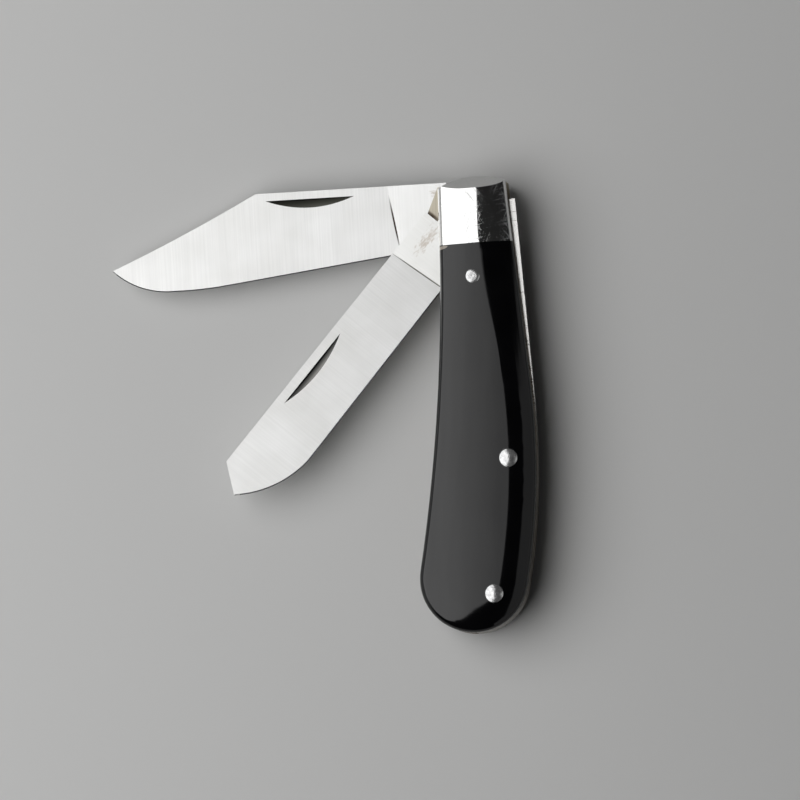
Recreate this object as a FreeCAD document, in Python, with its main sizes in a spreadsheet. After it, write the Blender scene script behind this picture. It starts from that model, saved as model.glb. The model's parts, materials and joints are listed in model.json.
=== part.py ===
"""Two-blade slip-joint pocket knife, in millimetres.

The knife lies on its rear side. X points from the blades' side of the handle to its back, Y from the
butt to the bolsters, Z out of the front side. The origin is on the blades' pivot, in the plane of the
rear bolster's flat land.
"""
import os

import FreeCAD, Part
import Sketcher
from FreeCAD import Rotation, Vector

doc = FreeCAD.newDocument("pocket_knife")

# Driving dimensions: millimetres, and degrees where the note says so
SIZES = [
    ("front_reach", 5.9, "pivot to the front edge of the handle"),
    ("front_lean_angle", 2.0, "degrees that the straight front leans outward to the bolster end"),
    ("hollow_drop", 2.8, "pivot down to where the front edge starts to hollow"),
    ("back_reach", 8.0, "pivot to the back of the handle"),
    ("back_slope", 7.2, "degrees that the back leans outward towards the butt"),
    ("back_straight", 33.5, "straight length of the back below the pivot"),
    ("butt_reach", 81.1, "pivot to the end of the butt"),
    ("butt_radius", 10.55, "radius of the round butt"),
    ("butt_shift", 1.0, "offset of the butt's centre towards the back"),
    ("end_reach", 6.2, "pivot to the corners of the bolster end"),
    ("end_radius", 14.0, "radius of the rounded bolster end"),
    ("cover_thick", 3.3, "thickness of a scale or a bolster"),
    ("crown_width", 5.3, "width of the rounded border of the covers"),
    ("crown_height", 2.1, "drop of the rounded border"),
    ("crown_radius", 11.4, "radius of its broad inner part"),
    ("crown_edge_angle", 22.5, "degrees of slope where its tighter outer part begins"),
    ("facet_setback", 0.65, "corners of the bolster end back to the slanted facet there"),
    ("facet_angle", 51.0, "degrees of that facet from the face of the cover"),
    ("seam_drop", 5.2, "pivot down to the seam between bolster and scale"),
    ("liner_thick", 0.6, "thickness of an outer liner"),
    ("center_liner_thick", 0.5, "thickness of the liner between the blades"),
    ("ear_rise", 6.2, "height of the top corner of the centre liner's front ear above the pivot"),
    ("ear_top_reach", 6.45, "pivot to that corner, towards the blades"),
    ("ear_reach", 9.4, "pivot to the ear's outermost corner"),
    ("ear_drop", 1.5, "pivot down to that corner"),
    ("ear_fall", 9.0, "pivot down to the ear's foot"),
    ("clip_layer", 2.2, "thickness of the clip blade's spring"),
    ("spey_layer", 2.0, "thickness of the spey blade's spring"),
    ("side_gap", 0.05, "gap between a blade and the liner beside it"),
    ("tang_reach", 4.5, "pivot to each flat of a tang"),
    ("tang_round", 0.3, "rounding of a tang's corners"),
    ("shoulder_reach", 4.45, "pivot to the shoulder that meets the spring's tip"),
    ("kick_reach", 9.5, "pivot to the kick, along the blade"),
    ("choil_reach", 13.4, "pivot to the notch before the edge"),
    ("edge_reach", 14.8, "pivot to the start of the cutting edge"),
    ("choil_depth", 0.4, "how far the notch before the edge is cut back"),
    ("edge_thick", 0.2, "thickness left at the cutting edge"),
    ("clip_tip_gap", 9.9, "tip of the clip blade to the butt's end, along the closed blade"),
    ("clip_spine", 7.4, "clip blade's pivot line to its spine"),
    ("clip_depth", 10.75, "clip blade's pivot line to its deepest point"),
    ("clip_sweep_depth", 10.2, "clip blade's pivot line to where its edge begins to sweep up"),
    ("clip_sweep_radius", 76.0, "radius of that sweep"),
    ("clip_heel", 6.15, "clip blade's pivot line to the start of its edge"),
    ("clip_tip_drop", 6.05, "clip blade's pivot line down to its tip"),
    ("clip_hollow_radius", 360.0, "radius of the hollow of the clip"),
    ("clip_belly_radius", 16.0, "radius of the clip blade's belly up to its tip"),
    ("clip_plunge_angle", 9.0, "degrees that the clip blade's plunge line leans"),
    ("clip_plunge_reach", 14.8, "pivot to the clip blade's plunge line"),
    ("clip_nick_start", 22.7, "pivot to the clip blade's nail nick"),
    ("clip_nick_setback", 1.5, "clip blade's spine to the straight side of its nail nick"),
    ("clip_nick_width", 1.75, "width of the clip blade's nail nick at its middle"),
    ("clip_rest_angle", 183.0, "degrees of the half open clip blade from X"),
    ("clip_closed_angle", 263.0, "degrees of the closed clip blade from X"),
    ("spey_tip_gap", 10.0, "tip of the spey blade to the butt's end, along the closed blade"),
    ("spey_spine", 7.45, "spey blade's pivot line to its spine"),
    ("spey_depth", 5.0, "spey blade's pivot line to its edge"),
    ("spey_heel", 4.55, "spey blade's pivot line to the start of its edge"),
    ("spey_tip_rise", 2.1, "spey blade's pivot line up to its tip"),
    ("spey_belly_radius", 21.5, "radius of the spey blade's belly"),
    ("spey_plunge_angle", 4.0, "degrees that the spey blade's plunge line leans"),
    ("spey_plunge_reach", 14.2, "pivot to the spey blade's plunge line"),
    ("spey_nick_start", 33.4, "pivot to the spey blade's nail nick"),
    ("spey_nick_setback", 1.75, "spey blade's spine to the straight side of its nail nick"),
    ("spey_nick_width", 1.45, "width of the spey blade's nail nick at its middle"),
    ("spey_rest_angle", 231.1, "degrees of the half open spey blade from X"),
    ("spey_closed_angle", 265.0, "degrees of the closed spey blade from X"),
    ("nick_length", 17.5, "length of a nail nick"),
    ("nick_depth", 0.55, "depth of a nail nick at its straight side, from the ground face"),
    ("spring_tip_reach", 2.9, "pivot up to the tip of a spring"),
    ("spring_knee_drop", 14.0, "pivot down to the end of a spring's straight inner face"),
    ("spring_waist_wall", 2.2, "spring pin's axis to the inner side of a spring"),
    ("spring_heel_wall", 2.8, "butt pin's axis to the inner side of a spring"),
    ("spring_gap", 0.06, "gap between a tang and its spring"),
    ("pivot_diameter", 2.8, "diameter of the blades' pivot pin"),
    ("pivot_skin", 0.5, "bolster metal left over each end of the pivot pin"),
    ("pivot_gap", 0.03, "radial gap between a blade and the pivot pin"),
    ("pin_diameter", 2.2, "diameter of the spring pin and the butt pin"),
    ("pin_head", 3.5, "diameter of their heads"),
    ("rivet_diameter", 1.6, "diameter of a scale rivet"),
    ("rivet_head", 2.7, "diameter of its head"),
    ("head_sink", 0.5, "depth of a head's seat in the scale"),
    ("head_dome", 0.3, "height of a head's dome above the scale"),
    ("fixed_gap", 0.02, "radial gap between a fixed pin and its hole"),
    ("spring_pin_x", 7.95, "spring pin from the pivot, towards the back"),
    ("butt_pin_side", 4.2, "butt pin from the butt's centre, towards the back"),
    ("butt_pin_drop", 3.05, "butt pin from the butt's centre, towards the butt's end"),
    ("rivet_x", 1.0, "scale rivet from the pivot, towards the back"),
    ("rivet_drop", 11.6, "scale rivet below the pivot"),
    ("overrun", 20.0, "how far cuts run past what they cut"),
]
sizes = doc.addObject("Spreadsheet::Sheet", "Sizes")
for row, (alias, value, note) in enumerate(SIZES, start=1):
    sizes.set(f"A{row}", alias)
    sizes.set(f"B{row}", str(value))
    sizes.set(f"C{row}", note)
    sizes.setAlias(f"B{row}", alias)
doc.recompute()


def formula(text):
    """Write a formula in the sheet's aliases as the document's objects read it."""
    for alias, _, _ in sorted(SIZES, key=lambda size: -len(size[0])):
        text = text.replace(f"<{alias}>", f"Sizes.{alias}")
    return text


def number(text):
    """The present value of a formula."""
    found = sizes.evalExpression(formula(text))
    return float(getattr(found, "Value", found))


def new_body(label, height="0"):
    """A body of the knife, whose own zero plane lies at a height in the stack of layers."""
    body = doc.addObject("PartDesign::Body", label)
    body.Label = label
    body.setExpression("Placement.Base.z", formula(height))
    return body


def origin_plane(body, role):
    return next(plane for plane in body.Origin.OriginFeatures if plane.Role == role)


def new_sketch(body, name, height="0", plane="XY_Plane"):
    """A sketch on one of the body's planes, at a height above that plane."""
    sketch = body.newObject("Sketcher::SketchObject", name)
    sketch.AttachmentSupport = [(origin_plane(body, plane), "")]
    sketch.MapMode = "FlatFace"
    sketch.setExpression("AttachmentOffset.Base.z", formula(height))
    return sketch


def swing(sketch, degrees):
    """Swing a sketch about its own vertical axis."""
    sketch.setExpression("AttachmentOffset.Rotation.Axis.y", "1")
    sketch.setExpression("AttachmentOffset.Rotation.Axis.z", "0")
    sketch.setExpression("AttachmentOffset.Rotation.Angle", formula(f"({degrees}) * 1 deg"))


def bind(sketch, name, text, kind, *where):
    """Add a dimension to a sketch and tie it to a formula."""
    index = sketch.addConstraint(Sketcher.Constraint(kind, *where, number(text)))
    sketch.renameConstraint(index, name)
    sketch.setExpression(f"Constraints.{name}", formula(text))


def locate(sketch, name, edge, end, x, y):
    """Tie one end of an edge to its place from the sketch's origin."""
    bind(sketch, f"{name}_x", x, "DistanceX", -1, 1, edge, end)
    bind(sketch, f"{name}_y", y, "DistanceY", -1, 1, edge, end)


def polygon(sketch, corners, radii=None):
    """Draw a closed outline through corners given as pairs of formulas.

    radii holds, by the number of the corner that a side starts from, the formula of that side's radius
    and +1 where its centre lies to the left of the way round, -1 where it lies to the right.
    """
    radii = radii or {}
    points = [Vector(number(x), number(y), 0) for x, y in corners]
    ends = []
    for side, start in enumerate(points):
        finish = points[(side + 1) % len(points)]
        if side not in radii:
            sketch.addGeometry(Part.LineSegment(start, finish), False)
            ends.append((1, 2))
            continue
        text, hand = radii[side]
        radius = number(text)
        chord = finish - start
        rise = (radius**2 - chord.Length**2 / 4) ** 0.5
        left = Vector(-chord.y, chord.x, 0).normalize()
        centre = (start + finish) / 2 + left * rise * hand
        middle = centre - left * radius * hand
        sketch.addGeometry(Part.Arc(start, middle, finish), False)
        ends.append((1, 2) if hand > 0 else (2, 1))
        bind(sketch, f"radius_{side}", text, "Radius", side)
    for side, (start_end, finish_end) in enumerate(ends):
        following = (side + 1) % len(ends)
        sketch.addConstraint(
            Sketcher.Constraint("Coincident", side, finish_end, following, ends[following][0])
        )
        locate(sketch, f"corner_{side}", side, start_end, *corners[side])


def circle(sketch, x, y, diameter):
    """Draw a circle at a place and of a diameter given as formulas."""
    centre = Vector(number(x), number(y), 0)
    edge = sketch.addGeometry(Part.Circle(centre, Vector(0, 0, 1), number(diameter) / 2), False)
    locate(sketch, f"centre_{edge}", edge, 3, x, y)
    bind(sketch, f"diameter_{edge}", diameter, "Diameter", edge)


# The edges of the handle's outline, in the order in which they are drawn
FRONT, HOLLOW, BUTT, BACK, STRAIGHT, END = range(6)


# Centre of the round butt
BUTT_CENTRE = ("<butt_shift>", "<butt_radius> - <butt_reach>")


FRONT_LEAN = "tan(<front_lean_angle> * 1 deg)"


def front_x(y):
    """Place of the straight front edge at a height."""
    return f"-(<front_reach> + ({y}) * {FRONT_LEAN})"


def front_corner_y(end):
    """Height of the outline's front corner, which lies level with the back corner across the slope."""
    across = "sin(<back_slope> * 1 deg)"
    return f"({end} - <front_reach> * {across}) / (cos(<back_slope> * 1 deg) + {across} * {FRONT_LEAN})"


def middle_of(centre, radius, start, finish):
    """The point half way round an arc."""
    return centre + ((start + finish) / 2 - centre).normalize() * radius


def handle_outline(sketch, reach="<back_reach>", slope="<back_slope>", end="<end_reach>"):
    """Draw the outline of the handle.

    The front runs straight, leaning out to the end, then hollow into the round butt; the back runs from the
    butt in one long arc into a straight that leans by the slope; an arc with its corners square to the back
    closes the end.
    """
    back = number(reach)
    butt = Vector(number("<butt_shift>"), number("<butt_radius> - <butt_reach>"), 0)
    butt_radius = number("<butt_radius>")
    out = Rotation(Vector(0, 0, 1), number(slope)).multVec(Vector(1, 0, 0))
    down = Vector(out.y, -out.x, 0)

    fore = Rotation(Vector(0, 0, 1), number("<front_lean_angle>")).multVec(Vector(-1, 0, 0))
    hollow_place = (front_x("-<hollow_drop>"), "-<hollow_drop>")
    hollow_start = Vector(number(hollow_place[0]), number(hollow_place[1]), 0)
    span = butt - hollow_start
    hollow_radius = (span.Length**2 - butt_radius**2) / (2 * (butt_radius + span.dot(fore)))
    hollow_centre = hollow_start + fore * hollow_radius
    hollow_end = hollow_centre + (butt - hollow_centre).normalize() * hollow_radius
    hollow_middle = middle_of(hollow_centre, hollow_radius, hollow_start, hollow_end)

    straight_end = out * back + down * number("<back_straight>")
    span = straight_end - butt
    back_radius = (span.Length**2 - butt_radius**2) / (2 * (span.dot(out) - butt_radius))
    back_centre = straight_end - out * back_radius
    back_start = butt + (butt - back_centre).normalize() * butt_radius
    back_middle = middle_of(back_centre, back_radius, back_start, straight_end)

    corner_place = (front_x(front_corner_y(end)), front_corner_y(end))
    front_corner = Vector(number(corner_place[0]), number(corner_place[1]), 0)
    back_corner = out * back - down * number(end)
    end_radius = number("<end_radius>")
    chord = front_corner - back_corner
    end_centre = (front_corner + back_corner) / 2
    left = Vector(-chord.y, chord.x, 0).normalize()
    end_centre += left * (end_radius**2 - chord.Length**2 / 4) ** 0.5
    end_middle = end_centre - left * end_radius

    butt_middle = butt - Vector(0, butt_radius, 0)
    sketch.addGeometry(
        [
            Part.LineSegment(front_corner, hollow_start),
            Part.Arc(hollow_end, hollow_middle, hollow_start),
            Part.Arc(hollow_end, butt_middle, back_start),
            Part.Arc(back_start, back_middle, straight_end),
            Part.LineSegment(straight_end, back_corner),
            Part.Arc(back_corner, end_middle, front_corner),
        ],
        False,
    )
    for joint in ((FRONT, 2, HOLLOW, 2), (HOLLOW, 1, BUTT, 1), (BUTT, 2, BACK, 1), (BACK, 2, STRAIGHT, 1)):
        sketch.addConstraint(Sketcher.Constraint("Tangent", *joint))
    sketch.addConstraint(Sketcher.Constraint("Coincident", STRAIGHT, 2, END, 1))
    sketch.addConstraint(Sketcher.Constraint("Coincident", END, 2, FRONT, 1))
    locate(sketch, "front_corner", FRONT, 1, *corner_place)
    locate(sketch, "hollow_start", FRONT, 2, *hollow_place)
    locate(sketch, "butt_centre", BUTT, 3, *BUTT_CENTRE)
    along = f"sin({slope} * 1 deg)"
    across = f"cos({slope} * 1 deg)"
    corner = (f"{reach} * {across} - {end} * {along}", f"{reach} * {along} + {end} * {across}")
    locate(sketch, "back_corner", STRAIGHT, 2, *corner)
    low = (
        f"{reach} * {across} + <back_straight> * {along}",
        f"{reach} * {along} - <back_straight> * {across}",
    )
    locate(sketch, "straight_end", STRAIGHT, 1, *low)
    bind(sketch, "butt_radius", "<butt_radius>", "Radius", BUTT)
    bind(sketch, "end_radius", "<end_radius>", "Radius", END)


def pad(body, sketch, length, down=False):
    feature = body.newObject("PartDesign::Pad", sketch.Name + "_pad")
    feature.Profile = sketch
    feature.Reversed = down
    feature.setExpression("Length", formula(length))
    return feature


def cut(body, sketch, length=None, up=True):
    """Cut a sketch out of its body: through it both ways, or to a depth up or down from the sketch."""
    doc.recompute()
    before = body.Shape.Volume
    feature = body.newObject("PartDesign::Pocket", sketch.Name + "_cut")
    feature.Profile = sketch
    if length is None:
        feature.Type = "ThroughAll"
        feature.Midplane = True
    else:
        feature.Reversed = up
        feature.setExpression("Length", formula(length))
    doc.recompute()
    assert body.Shape.Volume < before, f"{body.Label}: {sketch.Label} cuts nothing"
    return feature


# Heights of the layers, from the rear side up
REAR_LINER_Z = "<cover_thick>"
CLIP_Z = f"{REAR_LINER_Z} + <liner_thick>"
CENTER_LINER_Z = f"{CLIP_Z} + <clip_layer>"
SPEY_Z = f"{CENTER_LINER_Z} + <center_liner_thick>"
FRONT_LINER_Z = f"{SPEY_Z} + <spey_layer>"
FRONT_COVER_Z = f"{FRONT_LINER_Z} + <liner_thick>"
FRONT_Z = f"{FRONT_COVER_Z} + <cover_thick>"

# Places of the pins in the handle; the spring pin lies at a share of the way from the pivot to the butt
SPRING_PIN_SHARE = 0.5814
SPRING_PIN_DROP = f"(<butt_reach> * {SPRING_PIN_SHARE})"
SPRING_PIN = ("<spring_pin_x>", f"-{SPRING_PIN_DROP}")
BUTT_PIN = (f"{BUTT_CENTRE[0]} + <butt_pin_side>", f"{BUTT_CENTRE[1]} - <butt_pin_drop>")
RIVET = ("<rivet_x>", "-<rivet_drop>")
PIVOT = ("0", "0")
FIXED_PINS = {"spring_pin": SPRING_PIN, "butt_pin": BUTT_PIN}


def holes(body, name, places, diameter, gap="<fixed_gap>", height="0", length=None, up=True):
    """Cut round holes for pins, each with a radial gap."""
    sketch = new_sketch(body, name, height)
    for x, y in places:
        circle(sketch, x, y, f"{diameter} + 2 * {gap}")
    return cut(body, sketch, length, up)


def cover(label, front):
    """One side's crowned cover, whole: the bolster and the scale are both ground to this shape."""
    body = new_body(label, FRONT_COVER_Z if front else REAR_LINER_Z)
    base = new_sketch(body, label + "_base")
    handle_outline(base)
    pad(body, base, "<cover_thick>", down=not front)

    def level(height):
        """A height above the liner, outward from the handle."""
        return height if front else f"-({height})"

    rim_end = "(<end_reach> + <overrun>)"
    rim = new_sketch(body, label + "_rim")
    handle_outline(rim, end=rim_end)
    rim.toggleConstruction(END)
    slope = "<crown_edge_angle> * 1 deg"
    edge_in = f"(<crown_width> - <crown_radius> * sin({slope}))"
    edge_up = f"(<crown_height> - <crown_radius> * (1 - cos({slope})))"
    turn = f"({edge_up} * cos({slope}) - {edge_in} * sin({slope}))"
    edge_radius = f"({edge_in}^2 + {edge_up}^2) / (2 * {turn})"
    side = "<cover_thick> - <crown_height>"
    above = "<cover_thick> + <crown_height>"
    hand = -1 if front else 1
    rim_y = front_corner_y(rim_end)
    rim_x = f"({front_x(rim_y)} / cos(<front_lean_angle> * 1 deg))"
    rim_drop = f"{front_x(rim_y)} * {FRONT_LEAN} - {rim_y}"
    waste = new_sketch(body, label + "_crown_waste", rim_drop, "XZ_Plane")
    swing(waste, "<front_lean_angle>")
    polygon(
        waste,
        [
            (rim_x, level(side)),
            (f"{rim_x} + {edge_in}", level(f"{side} + {edge_up}")),
            (f"{rim_x} + <crown_width>", level("<cover_thick>")),
            (f"{rim_x} + <crown_width>", level(above)),
            (f"{rim_x} - <crown_width>", level(above)),
            (f"{rim_x} - <crown_width>", level(side)),
        ],
        {0: (edge_radius, hand), 1: ("<crown_radius>", hand)},
    )
    crown = body.newObject("PartDesign::SubtractivePipe", label + "_crown")
    crown.Profile = waste
    crown.Spine = (rim, [f"Edge{edge + 1}" for edge in (FRONT, HOLLOW, BUTT, BACK, STRAIGHT)])
    doc.recompute()

    facet = new_sketch(body, label + "_end_facet", plane="YZ_Plane")
    swing(facet, "<back_slope> / 2")
    start = "<end_reach> - <facet_setback>"
    run = "<cover_thick> / tan(<facet_angle> * 1 deg)"
    polygon(
        facet,
        [
            (f"{start} + {run}", "0"),
            (f"{start} + {run} + <overrun>", "0"),
            (f"{start} + {run} + <overrun>", level("2 * <cover_thick>")),
            (f"{start} - {run}", level("2 * <cover_thick>")),
        ],
    )
    cut(body, facet)
    return body


def cut_at_seam(body, keep_bolster):
    """Cut the cover along the seam, which lies square to the middle line of the handle."""
    sketch = new_sketch(body, body.Label + "_seam")
    lean = "sin(<back_slope> / 2 * 1 deg) / cos(<back_slope> / 2 * 1 deg)"
    width = "(<back_reach> + <overrun>)"
    far = "-<butt_reach> - <overrun>" if keep_bolster else "<end_reach> + <overrun>"
    seam_front = (f"-{width}", f"-<seam_drop> - {width} * {lean}")
    seam_back = (width, f"-<seam_drop> + {width} * {lean}")
    polygon(sketch, [seam_front, seam_back, (width, far), (f"-{width}", far)])
    cut(body, sketch)


def bolster(label, front):
    body = cover(label, front)
    cut_at_seam(body, keep_bolster=True)
    depth = "<cover_thick> - <pivot_skin>"
    holes(body, label + "_pivot_hole", [PIVOT], "<pivot_diameter>", length=depth, up=front)
    return body


def scale(label, front):
    body = cover(label, front)
    cut_at_seam(body, keep_bolster=False)
    pins = list(FIXED_PINS.values())
    holes(body, label + "_pin_holes", pins, "<pin_diameter>")
    holes(body, label + "_rivet_hole", [RIVET], "<rivet_diameter>")
    seat = "<cover_thick> - <head_sink>" if front else "<head_sink> - <cover_thick>"
    holes(body, label + "_head_seats", pins, "<pin_head>", height=seat, length="<overrun>", up=front)
    holes(body, label + "_rivet_seat", [RIVET], "<rivet_head>", height=seat, length="<overrun>", up=front)
    return body


def liner(label, height, thick, riveted):
    body = new_body(label, height)
    sketch = new_sketch(body, label + "_outline")
    handle_outline(sketch)
    pad(body, sketch, thick)
    doc.recompute()
    if not riveted:
        ear = new_sketch(body, label + "_ear")
        root = "-<front_reach> / 2"
        polygon(
            ear,
            [
                (root, "<ear_rise>"),
                ("-<ear_top_reach>", "<ear_rise>"),
                ("-<ear_reach>", "-<ear_drop>"),
                (root, "-<ear_fall>"),
            ],
        )
        pad(body, ear, thick)
    holes(body, label + "_pivot_hole", [PIVOT], "<pivot_diameter>")
    holes(body, label + "_pin_holes", FIXED_PINS.values(), "<pin_diameter>")
    if riveted:
        holes(body, label + "_rivet_hole", [RIVET], "<rivet_diameter>")
    return body


# How far each half open tang lifts its spring. A tang has three flats at one distance from the pivot: open,
# half open and closed. A corner between two of them stands out by this share of that distance.
HALF_OPEN = "(180 + <back_slope>)"
CLIP_TURN = f"({HALF_OPEN} - <clip_rest_angle>)"
CLIP_LIFT_SHARE = f"(cos({CLIP_TURN} * 1 deg) + sin({CLIP_TURN} * 1 deg) - 1)"
SPEY_TURN = f"(<spey_rest_angle> - {HALF_OPEN})"
SPEY_FLATS = f"(<spey_closed_angle> - {HALF_OPEN})"
SPEY_LIFT_SHARE = (
    f"(cos({SPEY_TURN} * 1 deg) + tan({SPEY_FLATS} / 2 * 1 deg) * sin({SPEY_TURN} * 1 deg) - 1)"
)


def spring(label, height, thick, lift_share):
    """A backspring: it fills the back of the handle, and its free end is bent outward by the tang."""
    lift = f"((<tang_reach> - <tang_round>) * {lift_share} + <spring_gap>)"
    slope = f"(<back_slope> - {lift} / {SPRING_PIN_DROP} * 180 / pi)"
    body = new_body(label, height)
    sketch = new_sketch(body, label + "_outline")
    handle_outline(sketch, reach=f"(<back_reach> + {lift})", slope=slope)
    pad(body, sketch, thick)

    def beside(distance, rise):
        """A point at a distance from the pivot across the spring's free end, and at a rise along it."""
        x = f"({distance}) * cos({slope} * 1 deg) - ({rise}) * sin({slope} * 1 deg)"
        y = f"({distance}) * sin({slope} * 1 deg) + ({rise}) * cos({slope} * 1 deg)"
        return x, y

    face = f"<tang_reach> + {lift}"
    well = new_sketch(body, label + "_well")
    polygon(
        well,
        [
            beside("<back_reach> + <overrun>", "<spring_tip_reach>"),
            beside("<back_reach> + <overrun>", "<end_reach> + <overrun>"),
            ("-<butt_radius> - <overrun>", "<end_reach> + <overrun>"),
            ("-<butt_radius> - <overrun>", "-<butt_reach> - <overrun>"),
            (f"{BUTT_PIN[0]} - 2 * <spring_heel_wall>", "-<butt_reach> - <overrun>"),
            (f"{BUTT_PIN[0]} - <spring_heel_wall>", f"{BUTT_PIN[1]} + <spring_heel_wall>"),
            ("<spring_pin_x> - <spring_waist_wall>", f"-{SPRING_PIN_DROP}"),
            beside(face, "-<spring_knee_drop>"),
            beside(face, "<spring_tip_reach>"),
        ],
    )
    cut(body, well)
    holes(body, label + "_pin_holes", FIXED_PINS.values(), "<pin_diameter>")
    return body


# A nail nick's cutting wheel, in profile, is drawn this many times as wide as the nick, clear of the blade
NICK_RISE_SHARE = 5
# Two places nearer than this are one place
TOUCH = 1e-6


def blade(kind, height, thick, outline, radii):
    """A blade lying along its own X axis, with its spine towards -Y, then turned about the pivot.

    outline and radii are those of the blade beyond its tang, from the spine's shoulder round to the heel.
    """
    label = f"{kind}_blade"
    body = new_body(label, f"{height} + <side_gap>")
    body.setExpression("Placement.Rotation.Axis.z", "1")
    body.setExpression("Placement.Rotation.Angle", formula(f"<{kind}_rest_angle> * 1 deg"))
    full = f"({thick} - 2 * <side_gap>)"
    spine = f"<{kind}_spine>"
    deep = f"<{kind}_depth>"
    closing = f"((360 + <back_slope> - <{kind}_closed_angle>) * 1 deg)"

    def closed_flat(along):
        """A point of the flat that meets the spring when the blade is closed."""
        return along, f"(<tang_reach> - ({along}) * cos({closing})) / sin({closing})"

    sketch = new_sketch(body, label + "_outline")
    tang = [
        closed_flat("<kick_reach>"),
        closed_flat("-<tang_reach>"),
        ("-<tang_reach>", "-<tang_reach>"),
        ("<shoulder_reach>", "-<tang_reach>"),
    ]
    choil = [
        ("(<choil_reach> + <edge_reach>) / 2", f"<{kind}_heel> - <choil_depth>"),
        ("(<choil_reach> + <kick_reach>) / 2", f"<{kind}_heel> - <choil_depth>"),
    ]
    polygon(sketch, tang + outline + choil, {side + len(tang): arc for side, arc in radii.items()})
    plate = pad(body, sketch, full)
    doc.recompute()
    back = number("-<tang_reach>")
    corners = [
        f"Edge{place}"
        for place, edge in enumerate(plate.Shape.Edges, start=1)
        if all(abs(vertex.X - back) < TOUCH for vertex in edge.Vertexes) and edge.tangentAt(0).z
    ]
    rounding = body.newObject("PartDesign::Fillet", label + "_tang_rounding")
    rounding.Base = (plate, corners)
    rounding.setExpression("Radius", formula("<tang_round>"))
    doc.recompute()

    slant = f"<{kind}_plunge_angle> * 1 deg"
    thin = f"(({full} - <edge_thick>) / 2)"
    for side, face in (("rear", "0"), ("front", full)):
        away = "-<overrun>" if side == "rear" else f"{full} + <overrun>"
        root = thin if side == "rear" else f"{full} - {thin}"
        grind = new_sketch(body, f"{label}_{side}_grind", f"<{kind}_plunge_reach>", "YZ_Plane")
        swing(grind, f"<{kind}_plunge_angle>")
        wide = f"cos({slant})"
        polygon(
            grind,
            [
                (f"-{spine} / {wide}", face),
                (f"{deep} / {wide}", root),
                (f"({deep} + <overrun>) / {wide}", root),
                (f"({deep} + <overrun>) / {wide}", away),
                (f"-{spine} / {wide}", away),
            ],
        )
        before = body.Shape.Volume
        hollow = body.newObject("PartDesign::Pocket", f"{label}_{side}_ground")
        hollow.Profile = grind
        hollow.UseCustomVector = True
        hollow.Direction = Vector(-1, 0, 0)
        hollow.Reversed = True
        hollow.AlongSketchNormal = False
        hollow.setExpression("Length", formula("<butt_reach> + <overrun>"))
        doc.recompute()
        assert body.Shape.Volume < before, f"{label}: the {side} grind cuts nothing"

    nick = new_sketch(body, label + "_nick", f"<{kind}_nick_start> + <nick_length> / 2", "YZ_Plane")
    wheel = "(<nick_length>^2 / (8 * <nick_depth>) + <nick_depth> / 2)"
    setback = f"<{kind}_nick_setback>"
    width = f"<{kind}_nick_width>"
    fall = f"{thin} / ({spine} + {deep})"
    wall = f"{setback} - {spine}"
    floor = f"({full} - {fall} * {setback} - <nick_depth>)"
    clear = f"{floor} + {NICK_RISE_SHARE} * (<nick_depth> - {fall} * {width})"
    hub = f"{floor} + {wheel}"
    polygon(
        nick,
        [
            (wall, floor),
            (f"{wall} + {NICK_RISE_SHARE} * {width}", clear),
            (wall, clear),
        ],
    )
    axis = nick.addGeometry(
        Part.LineSegment(
            Vector(number(wall), number(hub), 0),
            Vector(number(f"{wall} + {width}"), number(hub), 0),
        ),
        True,
    )
    locate(nick, "axis_start", axis, 1, wall, hub)
    locate(nick, "axis_end", axis, 2, f"{wall} + {width}", hub)
    before = body.Shape.Volume
    groove = body.newObject("PartDesign::Groove", label + "_nail_nick")
    groove.Profile = nick
    groove.ReferenceAxis = (nick, ["Axis0"])
    groove.Angle = 360
    doc.recompute()
    assert body.Shape.Volume < before, f"{label}: the nail nick cuts nothing"
    holes(body, label + "_pivot_hole", [PIVOT], "<pivot_diameter>", "<pivot_gap>")
    return body


def turned(label, place, profile, radii=None):
    """A round piece turned about its own Z axis from a half profile, set at a place in the handle."""
    body = new_body(label)
    body.setExpression("Placement.Base.x", formula(place[0]))
    body.setExpression("Placement.Base.y", formula(place[1]))
    sketch = new_sketch(body, label + "_profile", plane="XZ_Plane")
    polygon(sketch, profile, radii)
    feature = body.newObject("PartDesign::Revolution", label + "_turned")
    feature.Profile = sketch
    feature.ReferenceAxis = (sketch, ["V_Axis"])
    feature.Angle = 360
    return body


DOME_RADIUS = "(({head} / 2)^2 + <head_dome>^2) / (2 * <head_dome>)"


def headed_pin(label, place):
    """A through pin with a domed head on each side of the handle."""
    shank = "<pin_diameter> / 2"
    head = "<pin_head> / 2"
    dome = DOME_RADIUS.format(head="<pin_head>")
    profile = [
        ("0", "-<head_dome>"),
        (head, "0"),
        (head, "<head_sink>"),
        (shank, "<head_sink>"),
        (shank, f"{FRONT_Z} - <head_sink>"),
        (head, f"{FRONT_Z} - <head_sink>"),
        (head, FRONT_Z),
        ("0", f"{FRONT_Z} + <head_dome>"),
    ]
    return turned(label, place, profile, {0: (dome, 1), len(profile) - 2: (dome, 1)})


def scale_rivet(label, front):
    """A short rivet that holds one scale to its liner, clear of the blade behind it."""
    shank = "<rivet_diameter> / 2"
    head = "<rivet_head> / 2"
    dome = DOME_RADIUS.format(head="<rivet_head>")
    if front:
        profile = [
            ("0", FRONT_LINER_Z),
            (shank, FRONT_LINER_Z),
            (shank, f"{FRONT_Z} - <head_sink>"),
            (head, f"{FRONT_Z} - <head_sink>"),
            (head, FRONT_Z),
            ("0", f"{FRONT_Z} + <head_dome>"),
        ]
        arcs = {4: (dome, 1)}
    else:
        profile = [
            ("0", "-<head_dome>"),
            (head, "0"),
            (head, "<head_sink>"),
            (shank, "<head_sink>"),
            (shank, CLIP_Z),
            ("0", CLIP_Z),
        ]
        arcs = {0: (dome, 1)}
    return turned(label, RIVET, profile, arcs)


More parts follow.
